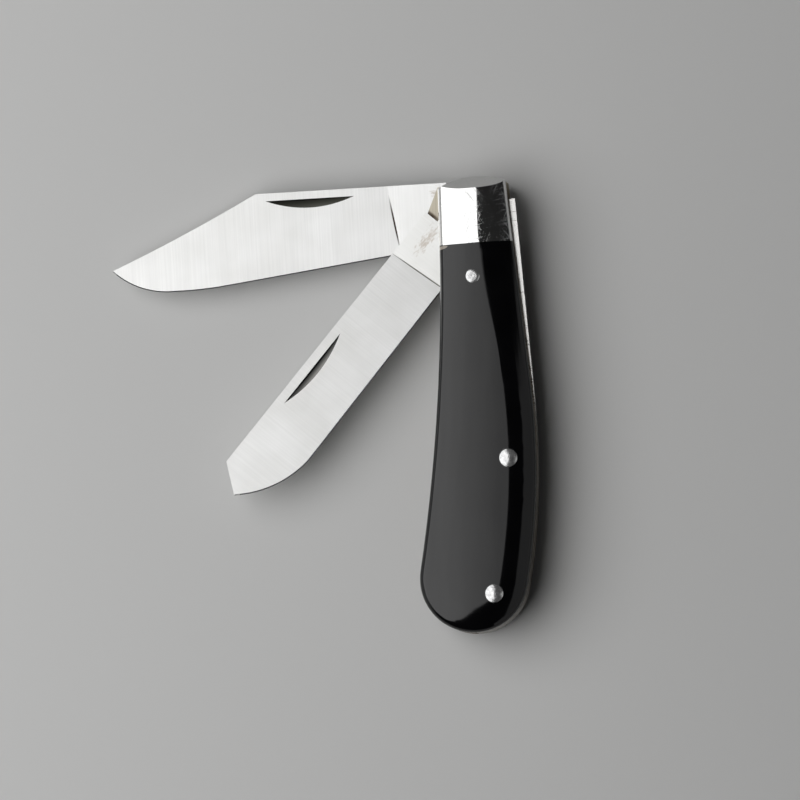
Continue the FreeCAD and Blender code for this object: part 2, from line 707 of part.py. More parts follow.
# The clip blade from its spine's shoulder, along the spine, down the clip to the tip and back by the belly
CLIP_LENGTH = "(<butt_reach> - <clip_tip_gap>)"
CLIP_CORNER_SHARE = 0.591
CLIP_BELLY_SHARE = 0.836
CLIP_SWEEP_SHARE = 0.681
clip_outline = [
    ("<shoulder_reach>", "-<clip_spine>"),
    (f"{CLIP_LENGTH} * {CLIP_CORNER_SHARE}", "-<clip_spine>"),
    (CLIP_LENGTH, "<clip_tip_drop>"),
    (f"{CLIP_LENGTH} * {CLIP_BELLY_SHARE}", "<clip_depth>"),
    (f"{CLIP_LENGTH} * {CLIP_SWEEP_SHARE}", "<clip_sweep_depth>"),
    ("<edge_reach>", "<clip_heel>"),
]
clip_arcs = {
    1: ("<clip_hollow_radius>", -1),
    2: ("<clip_belly_radius>", 1),
    3: ("<clip_sweep_radius>", 1),
}

# The spey blade: a straight spine, a short slanted end and a long belly
SPEY_LENGTH = "(<butt_reach> - <spey_tip_gap>)"
SPEY_CORNER_SHARE = 0.941
SPEY_BELLY_SHARE = 0.749
spey_outline = [
    ("<shoulder_reach>", "-<spey_spine>"),
    (f"{SPEY_LENGTH} * {SPEY_CORNER_SHARE}", "-<spey_spine>"),
    (SPEY_LENGTH, "-<spey_tip_rise>"),
    (f"{SPEY_LENGTH} * {SPEY_BELLY_SHARE}", "<spey_depth>"),
    ("<edge_reach>", "<spey_heel>"),
]
spey_arcs = {2: ("<spey_belly_radius>", 1)}

knife = [
    bolster("rear_bolster", front=False),
    scale("rear_scale", front=False),
    liner("rear_liner", REAR_LINER_Z, "<liner_thick>", riveted=True),
    spring("clip_spring", CLIP_Z, "<clip_layer>", CLIP_LIFT_SHARE),
    blade("clip", CLIP_Z, "<clip_layer>", clip_outline, clip_arcs),
    liner("center_liner", CENTER_LINER_Z, "<center_liner_thick>", riveted=False),
    spring("spey_spring", SPEY_Z, "<spey_layer>", SPEY_LIFT_SHARE),
    blade("spey", SPEY_Z, "<spey_layer>", spey_outline, spey_arcs),
    liner("front_liner", FRONT_LINER_Z, "<liner_thick>", riveted=True),
    scale("front_scale", front=True),
    bolster("front_bolster", front=True),
    turned(
        "pivot_pin",
        PIVOT,
        [
            ("0", "<pivot_skin>"),
            ("<pivot_diameter> / 2", "<pivot_skin>"),
            ("<pivot_diameter> / 2", f"{FRONT_Z} - <pivot_skin>"),
            ("0", f"{FRONT_Z} - <pivot_skin>"),
        ],
    ),
    headed_pin("spring_pin", SPRING_PIN),
    headed_pin("butt_pin", BUTT_PIN),
    scale_rivet("front_scale_rivet", front=True),
    scale_rivet("rear_scale_rivet", front=False),
]
doc.recompute()

for item in doc.Objects:
    assert not {"Invalid", "Error"} & set(item.State), f"{item.Label} failed: {item.State}"
for piece in knife:
    assert not piece.Shape.isNull() and piece.Shape.isValid(), f"{piece.Label} has no valid shape"
    assert len(piece.Shape.Solids) == 1, f"{piece.Label} is not one solid"

os.makedirs("parts", exist_ok=True)
for piece in knife:
    piece.Shape.exportStep(f"parts/{piece.Label}.step")
    print(piece.Label, round(piece.Shape.Volume, 2))
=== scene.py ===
"""The looks of a two-blade slip-joint pocket knife, which lies half open on its rear side. Metres."""
import json
import math

import bpy
from mathutils import Matrix, Vector

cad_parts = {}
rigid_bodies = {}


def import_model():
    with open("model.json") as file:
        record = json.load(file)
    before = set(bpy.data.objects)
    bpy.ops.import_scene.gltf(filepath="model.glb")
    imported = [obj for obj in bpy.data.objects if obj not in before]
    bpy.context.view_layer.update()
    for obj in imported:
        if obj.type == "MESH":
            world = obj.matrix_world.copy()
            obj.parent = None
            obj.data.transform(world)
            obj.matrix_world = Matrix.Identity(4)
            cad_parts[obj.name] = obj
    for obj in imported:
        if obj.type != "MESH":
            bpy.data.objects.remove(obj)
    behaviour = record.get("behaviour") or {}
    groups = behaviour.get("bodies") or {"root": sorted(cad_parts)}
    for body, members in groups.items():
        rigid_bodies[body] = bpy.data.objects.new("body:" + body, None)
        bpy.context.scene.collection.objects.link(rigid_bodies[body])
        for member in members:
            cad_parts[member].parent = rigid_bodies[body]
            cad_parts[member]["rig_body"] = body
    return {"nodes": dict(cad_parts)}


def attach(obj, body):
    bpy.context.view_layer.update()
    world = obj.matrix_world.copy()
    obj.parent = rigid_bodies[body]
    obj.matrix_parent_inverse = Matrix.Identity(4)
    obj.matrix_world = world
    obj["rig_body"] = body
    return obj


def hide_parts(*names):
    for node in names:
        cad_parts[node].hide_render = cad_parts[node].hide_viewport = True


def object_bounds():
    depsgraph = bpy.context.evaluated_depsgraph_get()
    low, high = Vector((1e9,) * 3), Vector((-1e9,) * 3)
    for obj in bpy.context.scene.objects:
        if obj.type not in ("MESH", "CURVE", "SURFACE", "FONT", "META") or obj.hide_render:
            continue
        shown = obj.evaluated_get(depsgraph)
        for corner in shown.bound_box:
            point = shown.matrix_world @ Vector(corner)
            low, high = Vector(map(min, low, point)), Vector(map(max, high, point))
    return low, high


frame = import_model()
cad_low, cad_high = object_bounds()

# Liners: three sheets that carry the handle, one outside each spring and one between the two blades.
# They are blanked from rolled brass, and their edges are ground flush with the springs, so rolling lines
# run along the sheet and the metal has dulled to tan.
MM = 0.001


def linear(code):
    """An sRGB hex code as linear colour."""
    parts = [int(code[place : place + 2], 16) / 255 for place in (1, 3, 5)]
    return [part / 12.92 if part <= 0.04045 else ((part + 0.055) / 1.055) ** 2.4 for part in parts] + [1]


def new_material(name, **values):
    """A material and its shader, with the shader's fixed values set."""
    material = bpy.data.materials.new(name)
    material.use_nodes = True
    shader = material.node_tree.nodes["Principled BSDF"]
    for socket, value in values.items():
        shader.inputs[socket].default_value = value
    return material, shader


def add(tree, kind, feeds=None, stops=(), **options):
    """Add a node: feeds are its inputs, values or outputs; stops are a ramp's places and colours."""
    node = tree.nodes.new("ShaderNode" + kind)
    for option, value in options.items():
        setattr(node, option, value)
    for socket, feed in (feeds or {}).items():
        if isinstance(feed, bpy.types.NodeSocket):
            tree.links.new(feed, node.inputs[socket])
        else:
            node.inputs[socket].default_value = feed
    for number, (position, code) in enumerate(stops):
        elements = node.color_ramp.elements
        element = elements[number] if number < len(elements) else elements.new(position)
        element.position = position
        element.color = linear(code)
    return node


# Corners of neighbouring triangles lie on one another to within this
MERGE = 0.0005 * MM
# A face whose normal has more than this much height is level, and keeps its shading flat to its border
LEVEL = 0.99999
# A face whose normal has less height than this stands on edge
UPRIGHT = 0.5
# Faces that meet at a sharper angle than this are shaded apart
CREASE = math.radians(25)


def merged_copy(node_name):
    """A copy of a CAD node with its loose triangles joined and its own normals, alone in the selection."""
    piece = bpy.data.objects.new(node_name + "_finished", frame["nodes"][node_name].data.copy())
    bpy.context.scene.collection.objects.link(piece)
    bpy.ops.object.select_all(action="DESELECT")
    piece.select_set(True)
    bpy.context.view_layer.objects.active = piece
    bpy.ops.object.mode_set(mode="EDIT")
    bpy.ops.mesh.select_all(action="SELECT")
    bpy.ops.mesh.remove_doubles(threshold=MERGE)
    bpy.ops.mesh.customdata_custom_splitnormals_clear()
    bpy.ops.object.mode_set(mode="OBJECT")
    return piece


def select_faces(piece, wanted):
    """Select just the wanted faces of a piece and open it for editing."""
    bpy.ops.object.mode_set(mode="EDIT")
    bpy.ops.mesh.select_mode(type="FACE")
    bpy.ops.mesh.select_all(action="DESELECT")
    bpy.ops.object.mode_set(mode="OBJECT")
    for face in piece.data.polygons:
        face.select = wanted(face)
    bpy.ops.object.mode_set(mode="EDIT")


def dress(piece, node_name, material, edge_material=None, crease=CREASE):
    """Shade a finished copy as one skin with true creases, and stand it for its CAD node."""
    select_faces(piece, lambda face: abs(face.normal.z) > LEVEL)
    bpy.ops.mesh.mod_weighted_strength(set=True, face_strength="STRONG")
    bpy.ops.object.mode_set(mode="OBJECT")
    bpy.ops.object.shade_smooth_by_angle(angle=crease)
    weighting = piece.modifiers.new("face weight", "WEIGHTED_NORMAL")
    weighting.keep_sharp = True
    weighting.use_face_influence = True
    bpy.ops.object.modifier_apply(modifier=weighting.name)
    piece.data.materials.clear()
    piece.data.materials.append(material)
    # Upright faces take the edge material: the liners' and springs' edges, painted in shade
    if edge_material:
        piece.data.materials.append(edge_material)
        for face in piece.data.polygons:
            face.material_index = int(abs(face.normal.z) < UPRIGHT)
    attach(piece, frame["nodes"][node_name]["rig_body"])
    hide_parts(node_name)


# Rolled brass: broad soft gloss with faint lines along the sheet, dulled to tan on its faces, and on its
# cut edges painted dark brown as shade
ROLLING_LINE = 0.25 * MM
ROLLING_STRETCH = 0.02
ROLLING_DEPTH = 0.0015 * MM
SHEET_COLOURS = ("#A39C8C", "#C4BDAD")
SHEET_ROUGH = (0.28, 0.42)
SHADED_CUT_COLOURS = ("#6A5D49", "#857660")
CUT_ROUGH = (0.35, 0.5)
# Most of a noise pattern's values lie between these
NOISE_SPAN = (0.2, 0.8)


def lined_metal(name, line, stretch, colours, rough, depth):
    """A metal lined along the handle, or even where stretch is 1; returns what more can be built on."""
    material, shader = new_material(name, Metallic=1)
    tree = material.node_tree
    place = add(tree, "TexCoord").outputs["Object"]
    along = add(tree, "Mapping", {"Vector": place, "Scale": (1 / line, stretch / line, 1 / line)})
    noise = add(tree, "TexNoise", {"Vector": along.outputs["Vector"], "Scale": 1, "Detail": 3})
    lines = noise.outputs["Fac"]
    tint = add(tree, "ValToRGB", {"Fac": lines}, list(zip(NOISE_SPAN, colours)))
    dulling = add(tree, "MapRange", {"Value": lines, "To Min": rough[0], "To Max": rough[1]})
    relief = add(tree, "Bump", {"Height": lines, "Strength": 1, "Distance": depth})
    tree.links.new(tint.outputs["Color"], shader.inputs["Base Color"])
    tree.links.new(dulling.outputs["Result"], shader.inputs["Roughness"])
    tree.links.new(relief.outputs["Normal"], shader.inputs["Normal"])
    return material, shader, tint, place


brass, brass_shader, tint, place = lined_metal(
    "rolled brass sheet", ROLLING_LINE, ROLLING_STRETCH, SHEET_COLOURS, SHEET_ROUGH, ROLLING_DEPTH
)
# Grease has gathered on the middle liner's ear along the end of the spey blade's tang, which rubs on it,
# and painted shade darkens the same band where the tang lies over the ear.
SPEY_TURN = 231.1
GREASE_AND_SHADE_FROM = 3.4 * MM
GREASE_AND_SHADE_TO = 4.0 * MM
GREASE_AND_SHADE_PATCH = 2.5 * MM
GREASE_AND_SHADE_SPAN = (0.2, 0.6)
GREASE_AND_SHADE_COLOUR = "#4A3A2E"
tree = brass.node_tree
square = add(tree, "Mapping", {"Vector": place, "Rotation": (0, 0, -math.radians(SPEY_TURN))})
reach = add(tree, "SeparateXYZ", {"Vector": square.outputs["Vector"]}).outputs["X"]
patch = add(tree, "TexNoise", {"Vector": place, "Scale": 1 / GREASE_AND_SHADE_PATCH, "Detail": 1}).outputs["Fac"]
edge = add(tree, "MapRange", {"Value": reach, "From Min": GREASE_AND_SHADE_FROM, "From Max": GREASE_AND_SHADE_TO})
spread = add(tree, "Math", {0: edge.outputs["Result"], 1: patch}, operation="MULTIPLY").outputs["Value"]
cover = add(tree, "MapRange", {"Value": spread, "From Min": GREASE_AND_SHADE_SPAN[0], "From Max": GREASE_AND_SHADE_SPAN[1]})
# Grease and painted shade darken the ear towards the spey blade's tang
greased_and_shaded = add(
    tree,
    "MixRGB",
    {"Fac": cover.outputs["Result"], "Color1": tint.outputs["Color"], "Color2": linear(GREASE_AND_SHADE_COLOUR)},
)
tree.links.new(greased_and_shaded.outputs["Color"], brass_shader.inputs["Base Color"])
# Cut edges: the same brass painted dark brown as shade
shaded_brass_edge = lined_metal(
    "brass edge in painted shade", ROLLING_LINE, ROLLING_STRETCH, SHADED_CUT_COLOURS, CUT_ROUGH, ROLLING_DEPTH
)[0]
for name in ("rear_liner", "center_liner", "front_liner"):
    dress(merged_copy(name), name, brass, shaded_brass_edge)

# Backsprings: two leaves of hardened steel between the liners. Each is held by two pins and bears on a
# tang with its free end. They are ground flat on the sides and glazed along the back, which is painted
# dark as shade.
SPRING_LINE = 0.2 * MM
SPRING_STRETCH = 0.03
SPRING_DEPTH = 0.0008 * MM
# Ground steel: bright, with lines along the leaf and here and there a dark mark across it from the wheel
SPRING_COLOURS = ("#E2E1DE", "#F6F5F2")
SPRING_ROUGH = (0.24, 0.32)
CHATTER = 3.2 * MM
CHATTER_STRETCH = 0.1
CHATTER_STOPS = [(0.485, "#FFFFFF"), (0.495, "#8A8884"), (0.505, "#FFFFFF")]
spring_steel, spring_shader, tint, place = lined_metal(
    "ground spring steel", SPRING_LINE, SPRING_STRETCH, SPRING_COLOURS, SPRING_ROUGH, SPRING_DEPTH
)
tree = spring_steel.node_tree
thin = CHATTER_STRETCH / CHATTER
across = add(tree, "Mapping", {"Vector": place, "Scale": (thin, 1 / CHATTER, thin)})
chatter = add(tree, "TexNoise", {"Vector": across.outputs["Vector"], "Scale": 1, "Detail": 6})
marks = add(tree, "ValToRGB", {"Fac": chatter.outputs["Fac"]}, CHATTER_STOPS)
marked = add(
    tree,
    "MixRGB",
    {"Fac": 1, "Color1": tint.outputs["Color"], "Color2": marks.outputs["Color"]},
    blend_type="MULTIPLY",
)
tree.links.new(marked.outputs["Color"], spring_shader.inputs["Base Color"])
# Glazed steel: the backs of the leaves, rubbed smooth by the wheel and the hand and painted dark as shade
SHADED_BACK_COLOURS = ("#858380", "#A3A19D")
GLAZE_ROUGH = (0.25, 0.35)
shaded_spring_back = lined_metal(
    "spring back in painted shade", SPRING_LINE, SPRING_STRETCH, SHADED_BACK_COLOURS, GLAZE_ROUGH, SPRING_DEPTH
)[0]
for name in ("clip_spring", "spey_spring"):
    dress(merged_copy(name), name, spring_steel, shaded_spring_back)

# Blades: carbon steel, hardened and flat ground from both sides across their width, which leaves fine
# lines square to the spine. Each has a nail nick milled into its front face, and its edge is honed last.
EDGE_START = 14.8 * MM
BEVEL_WIDTH = 0.2 * MM
HONED_EDGE = 0.02 * MM
# Faces within a few degrees of level, but not level, are the ground ones
GROUND = (0.99, 0.9995)
# Triangles that meet at less than this are joined to one flat face
FLAT = math.radians(0.2)
BLADE_CREASE = math.radians(12)
# Places are in millimetres along a blade from the pivot, or across it from the pivot line to its edge, and
# angles in degrees. The tip's depth is its place across. The nick has a start and a length. The painted
# shade along the plunge line has a distance beyond it, half a width and half a length. The smear has a
# place along and across, half a length and half a width.
BLADES = {
    "clip_blade": {
        "turn": 183.0,
        # Satin tint painted darker than the spey's, as painted shade for how this blade lies to the lamp
        "satin": ("#E3E3E2", "#ECECEB"),
        "tang": "#FCFCFC",
        "plunge": 14.8,
        "lean": 9.0,
        "tip_depth": 6.05,
        "nick": (22.7, 17.5),
        "nick_wall": -5.9,
        "nick_width": 1.75,
        "nick_shade_colours": ("#33332F", "#464640", "#66665F"),
        "plunge_shade": (0.22, 0.22, 5.4),
        "plunge_shade_colour": "#33261F",
        "smear": (6.9, -5.5, 1.2, 0.9),
    },
    "spey_blade": {
        "turn": SPEY_TURN,
        # Satin tint painted lighter than the clip's, as painted light for how this blade lies to the lamp
        "satin": ("#F1F1F0", "#F8F8F7"),
        "tang": "#EAEAE9",
        "plunge": 14.2,
        "lean": 4.0,
        "tip_depth": -2.1,
        "nick": (33.4, 17.5),
        "nick_wall": -5.7,
        "nick_width": 1.45,
        "nick_shade_colours": ("#262625", "#484846", "#7B7A77"),
        "plunge_shade": (0.12, 0.16, 8.0),
        "plunge_shade_colour": "#7A7873",
        "smear": (8.5, -3.8, 4.2, 1.5),
    },
}


def sharpen(blade, turn, tip_depth):
    """Draw a narrow border in the ground faces and thin it along the edge; returns the honed faces."""
    bpy.ops.object.mode_set(mode="EDIT")
    bpy.ops.mesh.select_all(action="SELECT")
    bpy.ops.mesh.dissolve_limited(angle_limit=FLAT)
    bpy.ops.object.mode_set(mode="OBJECT")
    square = Matrix.Rotation(-math.radians(turn), 3, "Z")
    heights = [corner.co.z for corner in blade.data.vertices]
    middle = (min(heights) + max(heights)) / 2

    def on_edge(corner):
        flat = square @ corner.co
        return flat.x > EDGE_START - 10 * MERGE and flat.y > tip_depth * MM + HONED_EDGE

    rim = [corner.co.copy() for corner in blade.data.vertices if on_edge(corner)]
    select_faces(blade, lambda face: GROUND[0] < abs(face.normal.z) < GROUND[1])
    bpy.ops.mesh.inset(thickness=BEVEL_WIDTH, use_boundary=True, use_even_offset=True)
    bpy.ops.object.mode_set(mode="OBJECT")
    for corner in blade.data.vertices:
        if any((corner.co - place).length < MERGE for place in rim):
            side = 1 if corner.co.z > middle else -1
            corner.co.z = middle + side * HONED_EDGE / 2
    low = {c.index for c in blade.data.vertices if abs(abs(c.co.z - middle) - HONED_EDGE / 2) < MERGE}
    return [face.index for face in blade.data.polygons if len(low.intersection(face.vertices)) > 1]


# The painted shade along the plunge line and the smears thin out towards their borders, the smears in short
# streaks along the blade
PLUNGE_SHADE_BORDER = (1.1, 0.5)
SMEAR_GRAIN = 0.45 * MM
SMEAR_STRETCH = 0.4
SMEAR_FADE = -0.3
SMEAR_SPAN = (0.27, 0.5)
SMEAR_DEPTH = 0.5
SMEAR_COLOUR = "#907A60"


def soiled_and_shaded(tree, clean, along, from_plunge, ground, sizes):
    """A blade's clean tint with painted shade along its plunge line, the tang's own tone and a smear there.
    """
    offset, half_width, half_length = (size * MM for size in sizes["plunge_shade"])
    across = add(
        tree,
        "Mapping",
        {
            "Vector": from_plunge,
            "Scale": (1 / half_width, 1 / half_length, 0),
            "Location": (-offset / half_width, 0, 0),
        },
    )
    ring = add(tree, "VectorMath", {0: across.outputs["Vector"]}, operation="LENGTH").outputs["Value"]
    lens = add(tree, "MapRange", {"Value": ring, "From Min": PLUNGE_SHADE_BORDER[0], "From Max": PLUNGE_SHADE_BORDER[1]})
    # Painted shade in a lens just beyond the plunge line
    plunge_shaded = add(
        tree,
        "MixRGB",
        {"Fac": lens.outputs["Result"], "Color1": clean, "Color2": linear(sizes["plunge_shade_colour"])},
    )

    tang_tone = add(tree, "ValToRGB", {"Fac": ground}, [(0, sizes["tang"]), (1, "#FFFFFF")])
    toned = add(
        tree,
        "MixRGB",
        {"Fac": 1, "Color1": plunge_shaded.outputs["Color"], "Color2": tang_tone.outputs["Color"]},
        blend_type="MULTIPLY",
    )
    smear_x, smear_y, smear_long, smear_wide = (size * MM for size in sizes["smear"])
    spot = add(
        tree,
        "Mapping",
        {
            "Vector": along,
            "Scale": (1 / smear_long, 1 / smear_wide, 0),
            "Location": (-smear_x / smear_long, -smear_y / smear_wide, 0),
        },
    )
    reach = add(tree, "VectorMath", {0: spot.outputs["Vector"]}, operation="LENGTH").outputs["Value"]
    streaks = add(
        tree,
        "Mapping",
        {"Vector": along, "Scale": (SMEAR_STRETCH / SMEAR_GRAIN, 1 / SMEAR_GRAIN, 1 / SMEAR_GRAIN)},
    )
    blots = add(tree, "TexNoise", {"Vector": streaks.outputs["Vector"], "Scale": 1, "Detail": 4})
    fading = add(
        tree, "Math", {0: reach, 1: SMEAR_FADE, 2: blots.outputs["Fac"]}, operation="MULTIPLY_ADD"
    ).outputs["Value"]
    smeared = add(
        tree,
        "MapRange",
        {"Value": fading, "From Min": SMEAR_SPAN[0], "From Max": SMEAR_SPAN[1], "To Max": SMEAR_DEPTH},
    )
    stained = add(
        tree,
        "MixRGB",
        {
            "Fac": smeared.outputs["Result"],
            "Color1": toned.outputs["Color"],
            "Color2": linear(SMEAR_COLOUR),
        },
    )
    return stained.outputs["Color"]


# Satin steel: near white and soft. Its lines are finer than a picture shows, so they are drawn coarser
GRIND_LINE = 0.3 * MM
GRIND_STRETCH = 0.015
GRIND_DEPTH = 0.006 * MM
GRIND_STRENGTH = 0.1
SATIN_SPAN = (0.25, 0.75)
CLOUD = 9 * MM
CLOUD_STOPS = [(0.3, "#F4F4F3"), (0.7, "#FFFFFF")]
PLUNGE_WIDTH = 0.3 * MM
TANG_ROUGH = 0.32
SATIN_ROUGH = 0.46


def blade_steel(label, sizes):
    """Satin steel in a blade's own directions: ground beyond the plunge line, smeared on the tang."""
    material, shader = new_material(f"satin {label} steel", Metallic=1)
    tree = material.node_tree
    place = add(tree, "TexCoord").outputs["Object"]
    turn = math.radians(sizes["turn"])
    along = add(tree, "Mapping", {"Vector": place, "Rotation": (0, 0, -turn)}).outputs["Vector"]
    thin = GRIND_STRETCH / GRIND_LINE
    stretched = add(tree, "Mapping", {"Vector": along, "Scale": (1 / GRIND_LINE, thin, thin)})
    noise = add(tree, "TexNoise", {"Vector": stretched.outputs["Vector"], "Scale": 1, "Detail": 3})
    lines = noise.outputs["Fac"]
    tint = add(tree, "ValToRGB", {"Fac": lines}, list(zip(SATIN_SPAN, sizes["satin"])))
    clouds = add(tree, "TexNoise", {"Vector": along, "Scale": 1 / CLOUD, "Detail": 2})
    shade = add(tree, "ValToRGB", {"Fac": clouds.outputs["Fac"]}, CLOUD_STOPS)
    clouded = add(
        tree,
        "MixRGB",
        {"Fac": 1, "Color1": tint.outputs["Color"], "Color2": shade.outputs["Color"]},
        blend_type="MULTIPLY",
    )

    lean = math.radians(sizes["lean"])
    plunge = sizes["plunge"] * MM
    start = (-plunge * math.cos(lean), plunge * math.sin(lean), 0)
    from_plunge = add(
        tree, "Mapping", {"Vector": place, "Rotation": (0, 0, -turn - lean), "Location": start}
    ).outputs["Vector"]
    beyond = add(tree, "SeparateXYZ", {"Vector": from_plunge}).outputs["X"]
    step = add(tree, "MapRange", {"Value": beyond, "From Min": 0, "From Max": PLUNGE_WIDTH})
    ground = step.outputs["Result"]
    rough = add(tree, "MapRange", {"Value": ground, "To Min": TANG_ROUGH, "To Max": SATIN_ROUGH})
    grooves = add(tree, "Math", {0: lines, 1: ground}, operation="MULTIPLY").outputs["Value"]
    relief = add(tree, "Bump", {"Height": grooves, "Strength": GRIND_STRENGTH, "Distance": GRIND_DEPTH})
    colour = soiled_and_shaded(tree, clouded.outputs["Color"], along, from_plunge, ground, sizes)
    tree.links.new(colour, shader.inputs["Base Color"])
    tree.links.new(rough.outputs["Result"], shader.inputs["Roughness"])
    tree.links.new(relief.outputs["Normal"], shader.inputs["Normal"])
    return material


# Milled steel: a nail nick in painted shade, black at its steep wall and greyer where it runs out
NICK_ROUGH = 0.4
NICK_SHADE_PLACES = (0.1, 0.45, 0.95)
# The nick's faces lie within its outline, to this many millimetres, and are neither level nor turned down
NICK_MARGIN = 0.01
NICK_RISE = (-0.1, 0.99)


def shaded_nick_steel(label, sizes):
    """Milled steel in a nail nick, painted in shade that lightens across the blade from the nick's wall."""
    material, shader = new_material(f"milled {label} steel", Metallic=1, Roughness=NICK_ROUGH)
    tree = material.node_tree
    place = add(tree, "TexCoord").outputs["Object"]
    turn = math.radians(sizes["turn"])
    along = add(tree, "Mapping", {"Vector": place, "Rotation": (0, 0, -turn)}).outputs["Vector"]
    depth = add(tree, "SeparateXYZ", {"Vector": along}).outputs["Y"]
    wall, width = sizes["nick_wall"], sizes["nick_width"]
    run_out = add(
        tree, "MapRange", {"Value": depth, "From Min": wall * MM, "From Max": (wall + width) * MM}
    )
    stops = list(zip(NICK_SHADE_PLACES, sizes["nick_shade_colours"]))
    # Painted shade, darkest at the nick's wall
    tint = add(tree, "ValToRGB", {"Fac": run_out.outputs["Result"]}, stops)
    tree.links.new(tint.outputs["Color"], shader.inputs["Base Color"])
    return material


# Honed steel: the fine stone leaves an even fine grain on the edge, which is painted darker than the satin
# above it as shade
HONING_LINE = 0.15 * MM
HONING_STRETCH = 1
HONING_DEPTH = 0.0005 * MM
HONED_SHADE_COLOURS = ("#55555A", "#6C6C70")
HONED_ROUGH = (0.3, 0.4)
shaded_honed_steel = lined_metal(
    "honed steel edge in painted shade", HONING_LINE, HONING_STRETCH, HONED_SHADE_COLOURS, HONED_ROUGH, HONING_DEPTH
)[0]
for name, sizes in BLADES.items():
    blade = merged_copy(name)
    honed = sharpen(blade, sizes["turn"], sizes["tip_depth"])
    label = name.replace("_", " ")
    dress(blade, name, blade_steel(label, sizes), crease=BLADE_CREASE)
    blade.data.materials.append(shaded_nick_steel(label, sizes))
    blade.data.materials.append(shaded_honed_steel)
    square = Matrix.Rotation(-math.radians(sizes["turn"]), 3, "Z")
    first, length = sizes["nick"]
    wall, width = sizes["nick_wall"], sizes["nick_width"]
    for face in blade.data.polygons:
        flat = square @ face.center / MM
        lengthways = first < flat.x < first + length
        across = wall - NICK_MARGIN < flat.y < wall + width
        if lengthways and across and NICK_RISE[0] < face.normal.z < NICK_RISE[1]:
            face.material_index = 1
    # The honed faces take the edge steel in painted shade
    for number in honed:
        blade.data.polygons[number].material_index = 2

# Pins and rivets: nickel silver wire. The pivot pin is peened and ground away in the bolsters, and the
# others are headed over and domed on the scales.
HAMMER_MARK = 0.7 * MM
HAMMER_DEPTH = 0.03 * MM
# Buffed nickel silver: a cool white with soft-edged reflections, which the hammer's marks break up, under
# a dull film that lifts its dark side
FILMED_METALLIC = 0.8
HAMMER_STOPS = [(0.3, "#ABABAB"), (0.7, "#D2D2D2")]
HAMMER_ROUGH = (0.13, 0.25)
nickel_silver, nickel_shader = new_material("buffed nickel silver wire", Metallic=FILMED_METALLIC)
tree = nickel_silver.node_tree
place = add(tree, "TexCoord").outputs["Object"]
marks = add(tree, "TexNoise", {"Vector": place, "Scale": 1 / HAMMER_MARK, "Detail": 2}).outputs["Fac"]
tint = add(tree, "ValToRGB", {"Fac": marks}, HAMMER_STOPS)
polish = add(tree, "MapRange", {"Value": marks, "To Min": HAMMER_ROUGH[0], "To Max": HAMMER_ROUGH[1]})
hammered = add(tree, "Bump", {"Height": marks, "Strength": 1, "Distance": HAMMER_DEPTH})
tree.links.new(tint.outputs["Color"], nickel_shader.inputs["Base Color"])
tree.links.new(polish.outputs["Result"], nickel_shader.inputs["Roughness"])
tree.links.new(hammered.outputs["Normal"], nickel_shader.inputs["Normal"])
for name in ("pivot_pin", "spring_pin", "butt_pin"):
    dress(merged_copy(name), name, nickel_silver)
# The two small rivets were filed: each dome is flat from the ring next to its rim inwards
DOME_HEIGHT = 0.3 * MM
for name, top, side in (("front_scale_rivet", cad_high.z, 1), ("rear_scale_rivet", cad_low.z, -1)):
    rivet = merged_copy(name)
    centre = sum((corner.co for corner in rivet.data.vertices), Vector()) / len(rivet.data.vertices)
    dome = [corner for corner in rivet.data.vertices if side * (top - corner.co.z) < DOME_HEIGHT - MERGE]
    flat = max(dome, key=lambda corner: (corner.co.xy - centre.xy).length).co.z
    for corner in dome:
        corner.co.z = flat
    dress(rivet, name, nickel_silver)

# Scales: black resin that looks like horn, sawn to shape, riveted to the outer liners, crowned by
# grinding and buffed to a deep gloss. The front one has a small chip at its corner by the bolster.
RESIN_IOR = 1.46
RESIN_COLOURS = ("#040405", "#08080A")
RESIN_ROUGH = (0.07, 0.1)
BUFFING_WAVE = 6 * MM
# Buffed resin: near black with a clear gloss, and tan where it is chipped
resin, resin_shader = new_material("buffed black resin", IOR=RESIN_IOR)
tree = resin.node_tree
place = add(tree, "TexCoord").outputs["Object"]
wave = add(tree, "TexNoise", {"Vector": place, "Scale": 1 / BUFFING_WAVE, "Detail": 1}).outputs["Fac"]
tint = add(tree, "ValToRGB", {"Fac": wave}, list(zip(NOISE_SPAN, RESIN_COLOURS)))
rough = add(tree, "MapRange", {"Value": wave, "To Min": RESIN_ROUGH[0], "To Max": RESIN_ROUGH[1]})
tree.links.new(rough.outputs["Result"], resin_shader.inputs["Roughness"])
# The wheel left the shine a little deeper along the blades' side than along the back, in faint streaks
SHINE_FROM = -4 * MM
SHINE_TO = 6 * MM
SHINE = (0.48, 0.26)
STREAK = 2 * MM
STREAK_STRETCH = 0.1
STREAK_DEPTH = 0.08
across = add(tree, "SeparateXYZ", {"Vector": place}).outputs["X"]
shine = add(
    tree,
    "MapRange",
    {"Value": across, "From Min": SHINE_FROM, "From Max": SHINE_TO, "To Min": SHINE[0], "To Max": SHINE[1]},
)
drawn = add(tree, "Mapping", {"Vector": place, "Scale": (1 / STREAK, STREAK_STRETCH / STREAK, 1 / STREAK)})
streaks = add(tree, "TexNoise", {"Vector": drawn.outputs["Vector"], "Scale": 1, "Detail": 4})
streaked = add(
    tree,
    "Math",
    {0: streaks.outputs["Fac"], 1: STREAK_DEPTH, 2: shine.outputs["Result"]},
    operation="MULTIPLY_ADD",
)
tree.links.new(streaked.outputs["Value"], resin_shader.inputs["Specular IOR Level"])
